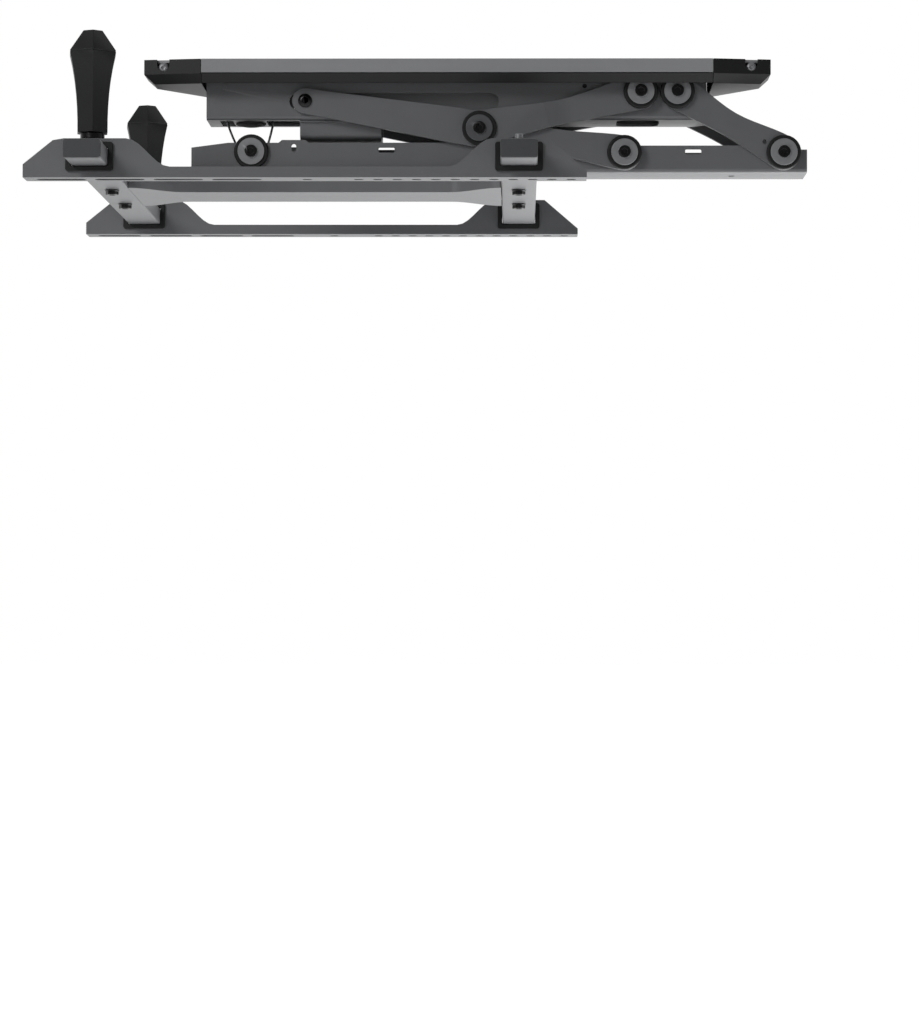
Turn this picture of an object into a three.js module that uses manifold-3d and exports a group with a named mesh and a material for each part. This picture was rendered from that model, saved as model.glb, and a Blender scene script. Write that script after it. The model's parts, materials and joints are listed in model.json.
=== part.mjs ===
// A motorized ceiling mount for a flat television: a ceiling unit with a small
// cable winch, a scissor linkage of three pairs of links, and a lower frame
// with two clamped rails. The linkage swings the frame down from the ceiling.
// Millimetres, +Z up. The origin is the centre of the ceiling face, so
// everything hangs below zero. +X runs to the hinged end, +Y to the far side.

import * as THREE from 'three';
import { mergeVertices } from 'three/addons/utils/BufferGeometryUtils.js';
import Module from 'manifold-3d';

const wasm = await Module();
wasm.setup();

// Fits that the whole product shares
const gap = 0.3;
const overrun = 1;
const sheet = 2.5;
const roundSegments = 32;
const smallSegments = 20;
const cornerSteps = 1.5;
const slotSteps = 3;
const endSteps = 8;

// The base channel's right end drives the length of the whole ceiling unit
const baseRight = 216;
const baseLeftExtra = 2;
const baseLeft = -baseRight - baseLeftExtra;

// Ceiling cover
const coverOverhang = 54;
const coverHalfLength = baseRight + coverOverhang;
const coverHalfWidth = 52;
const plateThickness = 2.5;
const coverWallBottom = -11.8;
const coverBottom = -18.4;
const coverBevel = 8;
const coverWall = 2;
const capWall = 3;
const capLength = 49.5;
const capStart = coverHalfLength - capLength;
const capNotchInset = 16.7;
const capNotchCentre = coverHalfLength - capNotchInset;
const capNotchWidth = 10.6;
const capNotchDepth = 10;
const capTaper = 7;
const capTaperLength = 50;
const capChamferEndY = -12;
const capChamferLength = 48;
const capChamferStartX = coverHalfLength - capChamferLength;
const skirtThickness = 3.2;
const skirtLipTop = -6;
const mountHoleRadius = 3.2;
const mountHoleInset = 34;
const mountHoleX = coverHalfLength - mountHoleInset;
const mountHoleY = 22;

// Base channel, open upwards under the plate
const channelHalfWidth = 23.5;
const channelCorner = 3;
const baseTop = -2.8;
const baseBottom = -48.5;
const baseFlangeHalfWidth = 40;
const baseEndChamfer = 9;
const cableExitLeftInset = 11;
const cableExitLeft = baseLeft + cableExitLeftInset;
const cableExitRightInset = 80;
const cableExitRight = baseLeft + cableExitRightInset;
const bumperWebLeftInset = 22.5;
const bumperWebLeft = baseLeft + bumperWebLeftInset;
const bumperWebRightInset = 51.5;
const bumperWebRight = baseLeft + bumperWebRightInset;
const openingHalfWidth = 15;
const stadiumSlotLeftInset = 77.5;
const stadiumSlotLeft = baseRight - stadiumSlotLeftInset;
const stadiumSlotRightInset = 40;
const stadiumSlotRight = baseRight - stadiumSlotRightInset;
const stadiumSlotWidth = 14;
const slideSlotLength = 182;
const slideSlotLead = 14;
const slideSlotHeight = 14.1;
const earthHoleInset = 105.6;
const earthHoleX = baseRight - earthHoleInset;
const earthHoleZ = -19.3;
const earthHoleRadius = 2;
const guideInner = 15.8;
const guideOuter = 17.4;
const guideTop = -22;

// Winch in the base channel
const motorLeftInset = 88;
const motorLeft = baseLeft + motorLeftInset;
const motorRightInset = 146;
const motorRight = baseLeft + motorRightInset;
const motorRadius = 13;
const motorAxisZ = -46;
const motorCoverLeftInset = 81;
const motorCoverLeft = baseLeft + motorCoverLeftInset;
const motorCoverRightInset = 152;
const motorCoverRight = baseLeft + motorCoverRightInset;
const motorCoverBottom = -65;
const motorCoverHalfWidth = 17.5;
const motorCoverWall = 1.5;
const motorCoverLip = 2.5;
const drumInset = 68;
const drumX = baseLeft + drumInset;
const drumZ = -25;
const drumCoreRadius = 9;
const drumFlangeRadius = 13;
const drumHalfWidth = 6.5;
const drumFlange = 1.5;
const gearboxNear = -15.4;
const gearboxFar = -7;
const gearboxLeftInset = 53;
const gearboxLeft = baseLeft + gearboxLeftInset;
const gearboxTop = -9;
const gearboxBottom = -43;
const gearboxHead = 8;
const outputShaftRadius = 3;
const anchorInset = 16;
const anchorX = baseLeft + anchorInset;
const anchorZ = -20;
const anchorRadius = 2.5;
const bumperInset = 37;
const bumperX = baseLeft + bumperInset;
const bumperRadius = 13.5;
const bumperDrop = 2.4;
const bumperStemRadius = 3;
const boardLeft = -30;
const boardRight = 88;
const boardHalfWidth = 17;
const boardTop = -9;
const boardThickness = 1.6;
const boardPostRadius = 2.5;
const relayLeft = -18;
const relayLength = 18;
const relayHalfWidth = 6;
const relayHeight = 14;
const capacitorX = 14;
const capacitorRadius = 5;
const capacitorHeight = 16;
const connectorLeft = 56;
const connectorLength = 22;
const connectorHalfWidth = 5;
const connectorHeight = 10;

// Cable
const cableRadius = 1;
const pulleyGrooveRadius = 8;
const pulleyRadius = 11;
const pulleyHalfWidth = 5;
const pulleyGrooveHalfWidth = 2.4;
const cableTurn = pulleyGrooveRadius + cableRadius + gap;

// Linkage pivots: first the two that stay on the base, then the links
const fixedPivotInset = 57;
const fixedPivotX = baseRight - fixedPivotInset;
const tailPivotInset = 25.4;
const tailPivotX = baseRight - tailPivotInset;
const fixedPivotZ = -25;
const steepLinkLength = 143.5;
const steepLinkAngle = THREE.MathUtils.degToRad(193.1);
const longLinkAngle = THREE.MathUtils.degToRad(-9.3);
const slideArm = 153.2;
const frameArm = 127.2;
const tailLinkLength = 106;

// Where the pivots stand at rest, folded up under the ceiling
const fixedPivot = new THREE.Vector2(fixedPivotX, fixedPivotZ);
const tailPivot = new THREE.Vector2(tailPivotX, fixedPivotZ);
const middlePivot = onArm(fixedPivot, steepLinkLength, steepLinkAngle);
const slidePivot = onArm(middlePivot, -slideArm, longLinkAngle);
const framePivot = onArm(middlePivot, frameArm, longLinkAngle);
const tailLinkAngle = Math.asin((framePivot.y - tailPivot.y) / tailLinkLength);
const tailEndPivot = onArm(tailPivot, tailLinkLength, tailLinkAngle);
const slideSlotLeft = slidePivot.x - slideSlotLead;
const slideSlotRight = slideSlotLeft + slideSlotLength;
const pulleyFromBaseEnd = 39.3;
const pulleyZ = -76.7;
const pulleyPivot = new THREE.Vector2(baseLeft + pulleyFromBaseEnd, pulleyZ);

// Link plates and their pivots, by distance from the middle plane
const linkThickness = 4;
const innerLayer = 24.5;
const outerLayer = 29.5;
const linkEndRadius = 15;
const slideEndRadius = 11.2;
const longLinkMiddle = 15.8;
const longLinkWaist = 10.8;
const linkWaist = 9.1;
const linkBelly = 12.4;
const joggleStart = 66;
const joggleEnd = 86;
const shaftRadius = 4;
const shaftHole = shaftRadius + gap;
const ringRadius = 15;
const ringThickness = 4.4;
const thinRingThickness = 2.2;
const washerRadius = 11.65;
const washerThickness = 1.5;
const headRadius = 5.35;
const headHeight = 2.5;
const hexSocketRadius = 2.9;
const hexSocketDepth = 1.4;
const slidePinRadius = 3;
const slidePinHeadRadius = 6;
const slideBlockLength = 16;
const slideBlockHeight = 9;
const slideBlockOuter = 24.2;
const slideFlangeLength = 20;
const slideFlangeHeight = 18;
const slideFlangeInner = 18.4;

// Lower channel, open upwards above the frame
const lowerLeftReach = 13;
const lowerRightReach = 87;
const lowerLeft = baseLeft - lowerLeftReach;
const lowerRight = baseRight + lowerRightReach;
const lowerBottom = -94.7;
const lowerTop = -68.6;
const lowerTopRight = -71.2;
const lowerTopStepInset = 96;
const lowerTopStep = baseRight - lowerTopStepInset;
const lowerLeftEndTop = -72.8;
const lowerLeftSlope = 32;
const lowerRightEndTop = -74.7;
const lowerRightEnd = 7;
const bumpTop = -66.2;
const bumpWidth = 20.5;
const leftBumpInset = 76;
const leftBumpX = baseLeft + leftBumpInset;
const rightBumpX = 22;
const bumpSlotWidth = 4.3;
const bumpSlotHeight = 7;
const bumpSlotZ = -73;
const windowLength = 14;
const windowHeight = 4.5;
const leftWindowX = -61.4;
const leftWindowZ = -75;
const rightWindowInset = 11.4;
const rightWindowX = baseRight - rightWindowInset;
const rightWindowZ = -76.6;
const lowerHoleRadius = 3;
const lowerHoleFirstInset = 13;
const lowerHoleFirst = baseLeft + lowerHoleFirstInset;
const lowerHolePitch = 148;
const lowerHoleCount = 4;

// Spine and crossbars
const leftCrossbarX = -296.8;
const rightCrossbarX = 53.5;
const crossbarCentres = [leftCrossbarX, rightCrossbarX];
const crossbarWidth = 30;
const crossbarTop = -98;
const crossbarHeight = 15;
const crossbarHalfLength = 245;
const crossbarWall = 1.8;
const endCapThickness = 5;
const endCapPlug = 12;
const spinePlate = 2.7;
const spineHalfWidth = 33;
const spineEndHalfWidth = 62;
const spineFlare = 43;
const boltHoleRadius = 3.4;
const boltHoleY = 48;

// Rails, the near and the far one alike
const railInset = 45;
const railHalfSpacing = crossbarHalfLength - railInset;
const railThickness = 2;
const railLeft = -351.4;
const railRight = 108.7;
const railBottom = -122.3;
const railFlange = 24;
const railHumpTop = -90.3;
const railWaistTop = -113.5;
const railLeftEndTop = -111.6;
const railRightEndTop = -117;
const railLeftHumpEdge = -267.3;
const railRightHumpEdge = 32;
const railHumpCornerRise = 4.5;
const railHumpFoot = 36;
const railLeftShoulder = 29;
const railRightShoulder = 31;
const linerLength = 39;
const linerHeight = 24;
const linerNeck = 2.2;
const linerCollar = 2.7;
const linerDepth = 7.5;
const clampTabHalfLength = 17;
const clampTabDepth = 22;
const longSlotFirst = -321.5;
const longSlotPitch = 48;
const longSlotCount = 4;
const longSlotLength = 41;
const longSlotWidth = 8.5;
const shortSlotFirst = -77.7;
const shortSlotPitch = 15.8;
const shortSlotCount = 12;
const shortSlotLength = 8.2;
const shortSlotWidth = 6;
const loneSlotX = -119.7;

// Clamp handles that stand on the left crossbar
const handleX = -296;
const handleBack = 12;
const studRadius = 4;
const collarRadius = 10;
const collarBottom = -90;
const collarTop = -85;
const studTop = -58;
const gripBottom = -84.7;
const gripShoulder = -18.5;
const gripTop = -0.5;
const gripRadius = 20.5;
const gripFootRadius = 12.6;
const gripTopRadius = 8.1;
const gripTurn = THREE.MathUtils.degToRad(8);

const mount = new THREE.Group();
mount.name = 'ceiling_tv_mount';

// Small geometry helpers

function onArm(from, length, angle) {
  return new THREE.Vector2(from.x + length * Math.cos(angle), from.y + length * Math.sin(angle));
}

// Turns three.js geometry into a solid that can be cut and joined
function solid(geometry) {
  const bare = geometry.index ? geometry.toNonIndexed() : geometry.clone();
  bare.deleteAttribute('normal');
  bare.deleteAttribute('uv');
  const merged = mergeVertices(bare, 1e-4);
  const mesh = new wasm.Mesh({
    numProp: 3,
    vertProperties: new Float32Array(merged.attributes.position.array),
    triVerts: new Uint32Array(merged.index.array),
  });
  return new wasm.Manifold(mesh);
}

// Turns a finished solid back into geometry with flat faces
function geometryOf(body) {
  const mesh = body.getMesh();
  const indexed = new THREE.BufferGeometry();
  const points = new Float32Array(mesh.numVert * 3);
  for (let i = 0; i < mesh.numVert; i += 1) {
    points.set(mesh.vertProperties.subarray(i * mesh.numProp, i * mesh.numProp + 3), i * 3);
  }
  indexed.setAttribute('position', new THREE.BufferAttribute(points, 3));
  indexed.setIndex(new THREE.BufferAttribute(new Uint32Array(mesh.triVerts), 1));
  const flat = indexed.toNonIndexed();
  flat.computeVertexNormals();
  return flat;
}

function shapeOf(points) {
  return new THREE.Shape(points.map(([u, v]) => new THREE.Vector2(u, v)));
}

function extruded(shape, depth, curveSegments) {
  return new THREE.ExtrudeGeometry(shape, { depth, bevelEnabled: false, curveSegments });
}

// An outline in X and Z, pushed through from one Y to another
function across(shape, fromY, toY, arcSteps = cornerSteps) {
  const geometry = extruded(shape, toY - fromY, arcSteps);
  geometry.rotateX(Math.PI / 2);
  geometry.translate(0, toY, 0);
  return solid(geometry);
}

// An outline in X and Y, raised from one Z to another
function upward(shape, fromZ, toZ, arcSteps = cornerSteps) {
  const geometry = extruded(shape, toZ - fromZ, arcSteps);
  geometry.translate(0, 0, fromZ);
  return solid(geometry);
}

// A section in Y and Z, run from one X to another
function along(shape, fromX, toX) {
  const geometry = extruded(shape, toX - fromX, cornerSteps);
  const axes = new THREE.Matrix4().makeBasis(
    new THREE.Vector3(0, 1, 0),
    new THREE.Vector3(0, 0, 1),
    new THREE.Vector3(1, 0, 0),
  );
  geometry.applyMatrix4(axes);
  geometry.translate(fromX, 0, 0);
  return solid(geometry);
}

function block(fromX, toX, fromY, toY, fromZ, toZ) {
  const geometry = new THREE.BoxGeometry(toX - fromX, toY - fromY, toZ - fromZ);
  geometry.translate((fromX + toX) / 2, (fromY + toY) / 2, (fromZ + toZ) / 2);
  return solid(geometry);
}

function cylinderAcross(radius, fromY, toY, x, z, segments = roundSegments) {
  const geometry = new THREE.CylinderGeometry(radius, radius, toY - fromY, segments);
  geometry.translate(x, (fromY + toY) / 2, z);
  return solid(geometry);
}

function cylinderUp(radius, fromZ, toZ, x, y, segments = roundSegments) {
  const geometry = new THREE.CylinderGeometry(radius, radius, toZ - fromZ, segments);
  geometry.rotateX(Math.PI / 2);
  geometry.translate(x, y, (fromZ + toZ) / 2);
  return solid(geometry);
}

function cylinderAlong(radius, fromX, toX, y, z, segments = roundSegments) {
  const geometry = new THREE.CylinderGeometry(radius, radius, toX - fromX, segments);
  geometry.rotateZ(Math.PI / 2);
  geometry.translate((fromX + toX) / 2, y, z);
  return solid(geometry);
}

// A slot with round ends, lying along the first direction of its outline
function slotShape(length, width, u, v) {
  const reach = length / 2 - width / 2;
  const shape = new THREE.Shape();
  shape.absarc(u + reach, v, width / 2, -Math.PI / 2, Math.PI / 2);
  shape.absarc(u - reach, v, width / 2, Math.PI / 2, 3 * Math.PI / 2);
  return shape;
}

// The same slot standing upright
function uprightSlotShape(length, width, u, v) {
  const reach = length / 2 - width / 2;
  const shape = new THREE.Shape();
  shape.absarc(u, v + reach, width / 2, 0, Math.PI);
  shape.absarc(u, v - reach, width / 2, Math.PI, 2 * Math.PI);
  return shape;
}

function roundedBoxShape(width, height, radius, u, v) {
  const reachU = width / 2 - radius;
  const reachV = height / 2 - radius;
  const shape = new THREE.Shape();
  shape.absarc(u + reachU, v - reachV, radius, -Math.PI / 2, 0);
  shape.absarc(u + reachU, v + reachV, radius, 0, Math.PI / 2);
  shape.absarc(u - reachU, v + reachV, radius, Math.PI / 2, Math.PI);
  shape.absarc(u - reachU, v - reachV, radius, Math.PI, 3 * Math.PI / 2);
  return shape;
}

function subtractAll(body, cuts) {
  return cuts.reduce((rest, cut) => rest.subtract(cut), body);
}

function joinAll(bodies) {
  return bodies.reduce((whole, next) => whole.add(next));
}

// Materials

function paint(color, roughness, metalness) {
  return new THREE.MeshStandardMaterial({ color, roughness, metalness });
}

const darkPowderCoat = () => paint(0x4b4c4e, 0.62, 0.2);
const greyPowderCoat = () => paint(0x6f7072, 0.6, 0.15);
const blackPlastic = () => paint(0x17181a, 0.5, 0);
const brightSteel = () => paint(0xb4b6b8, 0.32, 1);
const blackSteel = () => paint(0x1b1c1e, 0.42, 0.7);
const blackRubber = () => paint(0x121212, 0.85, 0);
const whiteNylon = () => paint(0xd9d8d2, 0.55, 0);
const greenBoard = () => paint(0x1f5a3c, 0.5, 0);

// Puts a solid into the assembly with its own origin at the given place
function addPart(name, body, material, originX = 0, originY = 0, originZ = 0) {
  const geometry = geometryOf(body);
  geometry.translate(-originX, -originY, -originZ);
  const mesh = new THREE.Mesh(geometry, material);
  mesh.name = name;
  mesh.position.set(originX, originY, originZ);
  mount.add(mesh);
  return mesh;
}

// Ceiling plate and its cover

// The plan of the whole cover, drawn in from its edge by an inset
function coverPlan(inset) {
  const x = coverHalfLength - inset;
  const near = -(coverHalfWidth - inset);
  const far = coverHalfWidth - inset;
  const taperX = x - capTaperLength;
  const endNear = near + capTaper;
  const right = [[taperX, near], [x, endNear], [x, capChamferEndY], [capChamferStartX - inset, far]];
  const left = right.map(([u, v]) => [-u, v]).reverse();
  return shapeOf([...right, ...left]);
}

function ceilingPlate() {
  const plan = coverPlan(capWall + gap);
  const plate = upward(plan, -plateThickness, 0);
  const middle = capStart - gap;
  const wide = block(-middle, middle, -coverHalfWidth, coverHalfWidth, -plateThickness, 0);
  const wall = (side) => {
    const outer = side * coverHalfWidth;
    const inner = side * (coverHalfWidth - coverWall);
    const shade = block(-middle, middle, Math.min(outer, inner), Math.max(outer, inner), coverWallBottom, 0);
    return shade;
  };
  const holes = [-1, 1].flatMap((endSide) => [-1, 1].map((side) => (
    cylinderUp(mountHoleRadius, -plateThickness - overrun, overrun, endSide * mountHoleX,
      (side - 1) / 2 * mountHoleY, smallSegments)
  )));
  return subtractAll(joinAll([plate, wide, wall(-1), wall(1)]), holes);
}

// The black strip that closes the gap between cover wall and links
function skirt(side) {
  const top = coverWallBottom - gap;
  const lipOuter = coverHalfWidth - coverWall - gap;
  const lipInner = lipOuter - skirtThickness / 2;
  const toe = coverHalfWidth - coverBevel;
  const section = shapeOf([
    [side * coverHalfWidth, top],
    [side * toe, coverBottom],
    [side * toe, coverBottom + skirtThickness / 2],
    [side * lipInner, top],
    [side * lipInner, skirtLipTop],
    [side * lipOuter, skirtLipTop],
    [side * lipOuter, top],
  ]);
  return along(section, -(capStart - gap), capStart - gap);
}

// The shell of one end cap: upright down to the wall's edge, then drawn in
function capShell(inset, topZ, bottomZ) {
  const slice = gap / 10;
  const upright = upward(coverPlan(inset), coverWallBottom - gap, topZ);
  const rim = upward(coverPlan(inset), coverWallBottom - gap - slice, coverWallBottom - gap);
  const toe = upward(coverPlan(inset + coverBevel), bottomZ, bottomZ + slice);
  return upright.add(wasm.Manifold.hull([rim, toe]));
}

// Closed below, so that it hides the mounting screws, and open to the ceiling
function endCap(side) {
  const outer = capShell(0, 0, coverBottom);
  const inner = capShell(capWall, overrun, coverBottom + capWall);
  const keep = block(
    Math.min(side * capStart, side * (coverHalfLength + overrun)),
    Math.max(side * capStart, side * (coverHalfLength + overrun)),
    -coverHalfWidth - overrun, coverHalfWidth + overrun, coverBottom - overrun, overrun,
  );
  const notchRadius = capNotchWidth / 2;
  const notchX = side * capNotchCentre;
  const notch = shapeOf([[notchX - notchRadius, overrun], [notchX - notchRadius, notchRadius - capNotchDepth]]);
  notch.absarc(notchX, notchRadius - capNotchDepth, notchRadius, Math.PI, 2 * Math.PI);
  notch.lineTo(notchX + notchRadius, overrun);
  return outer.subtract(inner).intersect(keep).subtract(across(notch, -coverHalfWidth - overrun, 0, slotSteps));
}

// Base channel

// Section of an upright U with round lower corners
function channelSection(halfWidth, corner, bottom, top) {
  const shape = new THREE.Shape();
  shape.moveTo(-halfWidth, top);
  shape.lineTo(-halfWidth, bottom + corner);
  shape.absarc(-halfWidth + corner, bottom + corner, corner, Math.PI, 3 * Math.PI / 2);
  shape.absarc(halfWidth - corner, bottom + corner, corner, -Math.PI / 2, 0);
  shape.lineTo(halfWidth, top);
  return shape;
}

function channelShell(fromX, toX, bottom, top) {
  const outer = along(channelSection(channelHalfWidth, channelCorner, bottom, top), fromX, toX);
  const innerHalf = channelHalfWidth - sheet;
  const innerCorner = channelCorner - sheet + gap;
  const inner = channelSection(innerHalf, innerCorner, bottom + sheet, top + overrun);
  return outer.subtract(along(inner, fromX - overrun, toX + overrun));
}

function baseChannel() {
  const shell = channelShell(baseLeft, baseRight, baseBottom, baseTop);
  const flange = (side) => {
    const outer = side * baseFlangeHalfWidth;
    const inner = side * (channelHalfWidth - sheet);
    return block(baseLeft, baseRight, Math.min(outer, inner), Math.max(outer, inner), baseTop - sheet, baseTop);
  };
  const floorFrom = baseBottom - overrun;
  const floorTo = baseBottom + sheet + overrun;
  const openings = [
    [cableExitLeft, bumperWebLeft],
    [bumperWebRight, cableExitRight],
    [motorCoverLeft + motorCoverLip, motorCoverRight - motorCoverLip],
  ].map(([from, to]) => block(from, to, -openingHalfWidth, openingHalfWidth, floorFrom, floorTo));
  const stadiumCentre = (stadiumSlotLeft + stadiumSlotRight) / 2;
  const stadium = slotShape(stadiumSlotRight - stadiumSlotLeft, stadiumSlotWidth, stadiumCentre, 0);
  const slideCentre = (slideSlotLeft + slideSlotRight) / 2;
  const slide = slotShape(slideSlotRight - slideSlotLeft, slideSlotHeight, slideCentre, slidePivot.y);
  const reach = channelHalfWidth + overrun;
  const slideSlot = across(slide, channelHalfWidth - sheet - overrun, reach, slotSteps);
  const bores = [fixedPivot, tailPivot].map((pivot) => (
    cylinderAcross(shaftHole, -reach, reach, pivot.x, pivot.y)
  ));
  const earth = cylinderAcross(earthHoleRadius, -reach, 0, earthHoleX, earthHoleZ, smallSegments);
  const corner = upward(shapeOf([
    [baseRight - baseEndChamfer, channelHalfWidth - sheet],
    [baseRight + overrun, channelHalfWidth - sheet - baseEndChamfer - overrun],
    [baseRight + overrun, channelHalfWidth - sheet],
  ]), floorFrom, baseBottom + sheet);
  const stem = cylinderUp(bumperStemRadius + gap, floorFrom, floorTo, bumperX, 0, smallSegments);
  const guide = (side) => block(slideSlotLeft, slideSlotRight, Math.min(side * guideInner, side * guideOuter),
    Math.max(side * guideInner, side * guideOuter), baseBottom + sheet / 2, guideTop);
  const rivet = channelHalfWidth + overrun / 2;
  const anchorPin = cylinderAcross(anchorRadius, -rivet, rivet, anchorX, anchorZ, smallSegments);
  return subtractAll(joinAll([shell, flange(-1), flange(1), guide(-1), guide(1), anchorPin]), [
    ...openings, upward(stadium, floorFrom, floorTo, slotSteps), slideSlot, onSide(slideSlot, -1),
    ...bores, earth, corner, stem,
  ]);
}

// Winch: gearmotor, drum, cover and the pieces round them

function gearmotor() {
  const motor = cylinderAlong(motorRadius, motorLeft, motorRight, 0, motorAxisZ);
  const endBell = cylinderAlong(motorRadius / 3, motorRight, motorRight + motorCoverWall, 0, motorAxisZ, smallSegments);
  const box = block(gearboxLeft, motorLeft, gearboxNear, gearboxFar, gearboxBottom, gearboxTop);
  const head = block(motorLeft - gearboxHead / 2, motorLeft + gearboxHead / 2, -openingHalfWidth + overrun,
    openingHalfWidth - overrun, motorAxisZ - motorRadius + overrun, motorAxisZ + motorRadius);
  const shaft = cylinderAcross(outputShaftRadius, gearboxFar - overrun, drumHalfWidth + drumFlange, drumX, drumZ,
    smallSegments);
  return joinAll([motor, endBell, box, head, shaft]);
}

// Spool with the turns of cable that stay on it
function winchDrum() {
  const profile = [[outputShaftRadius + gap, -drumHalfWidth], [drumFlangeRadius, -drumHalfWidth]];
  profile.push([drumFlangeRadius, -drumHalfWidth + drumFlange]);
  const turns = 5;
  const steps = 4;
  const run = 2 * (drumHalfWidth - drumFlange);
  for (let i = 0; i <= turns * steps; i += 1) {
    const share = i / (turns * steps);
    const swell = Math.abs(Math.sin(share * turns * Math.PI)) * cableRadius;
    profile.push([drumCoreRadius + swell, -drumHalfWidth + drumFlange + share * run]);
  }
  profile.push([drumFlangeRadius, drumHalfWidth - drumFlange], [drumFlangeRadius, drumHalfWidth]);
  profile.push([outputShaftRadius + gap, drumHalfWidth], [outputShaftRadius + gap, -drumHalfWidth]);
  const spool = new THREE.LatheGeometry(profile.map(([r, y]) => new THREE.Vector2(r, y)), smallSegments);
  spool.translate(drumX, 0, drumZ);
  return solid(spool);
}

function motorCover() {
  const top = baseBottom - gap;
  const lip = block(motorCoverLeft, motorCoverRight, -channelHalfWidth + channelCorner,
    channelHalfWidth - channelCorner, top - motorCoverWall, top);
  const bowl = (inset, bottom, ceiling) => {
    const half = motorCoverHalfWidth - inset;
    const section = channelSection(half, half / 3, bottom, ceiling);
    return along(section, motorCoverLeft + inset, motorCoverRight - inset);
  };
  const outer = lip.add(bowl(0, motorCoverBottom, top));
  return outer.subtract(bowl(motorCoverWall, motorCoverBottom + motorCoverWall, top + overrun));
}

function rubberBumper() {
  const rim = baseBottom - gap;
  const profile = [[0, rim - bumperDrop], [bumperRadius / 2, rim - bumperDrop],
    [bumperRadius - overrun, rim - bumperDrop / 2], [bumperRadius, rim],
    [bumperStemRadius, rim], [bumperStemRadius, baseBottom + sheet + gap],
    [bumperStemRadius + overrun, baseBottom + sheet + gap],
    [bumperStemRadius, baseBottom + 2 * sheet], [0, baseBottom + 2 * sheet]];
  const dome = new THREE.LatheGeometry(profile.map(([r, y]) => new THREE.Vector2(r, y)), smallSegments);
  dome.rotateX(Math.PI / 2);
  dome.translate(bumperX, 0, 0);
  return solid(dome);
}

// Circuit board on four posts, with its larger components
function controlBoard() {
  const board = block(boardLeft, boardRight, -boardHalfWidth, boardHalfWidth, boardTop - boardThickness, boardTop);
  const postInset = boardPostRadius * 2;
  const posts = [boardLeft + postInset, boardRight - postInset].flatMap((x) => (
    [-boardHalfWidth + postInset, boardHalfWidth - postInset].map((y) => (
      cylinderUp(boardPostRadius, boardTop - overrun / 2, baseTop, x, y, smallSegments)
    ))
  ));
  const componentTop = boardTop - overrun / 2;
  const relay = block(relayLeft, relayLeft + relayLength, -relayHalfWidth, relayHalfWidth,
    boardTop - relayHeight, componentTop);
  const capacitor = cylinderUp(capacitorRadius, boardTop - capacitorHeight, componentTop, capacitorX, 0,
    smallSegments);
  const connector = block(connectorLeft, connectorLeft + connectorLength, -connectorHalfWidth, connectorHalfWidth,
    boardTop - connectorHeight, componentTop);
  return joinAll([board, ...posts, relay, capacitor, connector]);
}

// Links and their pivots

// A plate from one pivot to the next, with a round end about each.
// Either side is a list of stations: distance from the first pivot and half width.
function linkShape(length, startRadius, endRadius, upper, lower) {
  const easeSteps = 6;
  const side = (stations) => {
    const all = [[0, startRadius], ...stations, [length, endRadius]];
    return all.slice(1).flatMap(([to, toHalf], i) => {
      const [from, fromHalf] = all[i];
      return Array.from({ length: easeSteps }, (_, k) => {
        const share = (k + 1) / easeSteps;
        const ease = share * share * (3 - 2 * share);
        return [from + (to - from) * share, fromHalf + (toHalf - fromHalf) * ease];
      });
    });
  };
  const shape = new THREE.Shape();
  shape.absarc(0, 0, startRadius, Math.PI / 2, 3 * Math.PI / 2);
  side(lower).forEach(([u, half]) => shape.lineTo(u, -half));
  shape.absarc(length, 0, endRadius, -Math.PI / 2, Math.PI / 2);
  side(upper).reverse().slice(1).forEach(([u, half]) => shape.lineTo(u, half));
  return shape;
}

function withBores(shape, bores) {
  bores.forEach(([u, radius]) => {
    const bore = new THREE.Path();
    bore.absarc(u, 0, radius, 0, 2 * Math.PI, true);
    shape.holes.push(bore);
  });
  return shape;
}

function longLink() {
  const length = slideArm + frameArm;
  const stations = [[slideArm, longLinkMiddle], [slideArm + frameArm / 2, longLinkWaist]];
  const shape = linkShape(length, slideEndRadius, linkEndRadius, stations, stations);
  withBores(shape, [[0, slidePinRadius + gap], [slideArm, shaftHole], [length, shaftHole]]);
  return across(shape, innerLayer, innerLayer + linkThickness, endSteps);
}

// Steps outward half way, so that it crosses the long link at the middle pivot
function steepLink() {
  const length = steepLinkLength;
  const hollow = [[length / 2, linkWaist]];
  const belly = [[length / 2, linkBelly]];
  const shape = linkShape(length, linkEndRadius, linkEndRadius, belly, hollow);
  withBores(shape, [[0, shaftHole], [length, shaftHole]]);
  const end = linkEndRadius + overrun;
  const step = shapeOf([
    [-end, innerLayer], [joggleStart, innerLayer], [joggleEnd, outerLayer], [length + end, outerLayer],
    [length + end, outerLayer + linkThickness], [joggleEnd, outerLayer + linkThickness],
    [joggleStart, innerLayer + linkThickness], [-end, innerLayer + linkThickness],
  ]);
  return across(shape, innerLayer - overrun, outerLayer + linkThickness + overrun, endSteps)
    .intersect(upward(step, -2 * linkEndRadius, 2 * linkEndRadius));
}

function tailLink() {
  const length = tailLinkLength;
  const waist = [[length / 2, linkWaist]];
  const straight = [[length / 2, linkBelly]];
  const shape = linkShape(length, linkEndRadius, linkEndRadius, waist, straight);
  const latchHole = length - linkEndRadius - shaftRadius;
  withBores(shape, [[0, shaftHole], [length, shaftHole], [latchHole, shaftRadius / 2]]);
  return across(shape, innerLayer, innerLayer + linkThickness, endSteps);
}

function onSide(body, side) {
  return side > 0 ? body : body.mirror([0, 1, 0]);
}

// A plastic spacer on the outside of a plate, its outer rim chamfered
function pivotRing(from, thickness) {
  const chamfer = thickness / 5;
  const profile = [[shaftHole, from], [ringRadius, from], [ringRadius, from + thickness - chamfer],
    [ringRadius - chamfer, from + thickness], [shaftHole, from + thickness], [shaftHole, from]];
  return solid(new THREE.LatheGeometry(profile.map(([r, y]) => new THREE.Vector2(r, y)), roundSegments));
}

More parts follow.
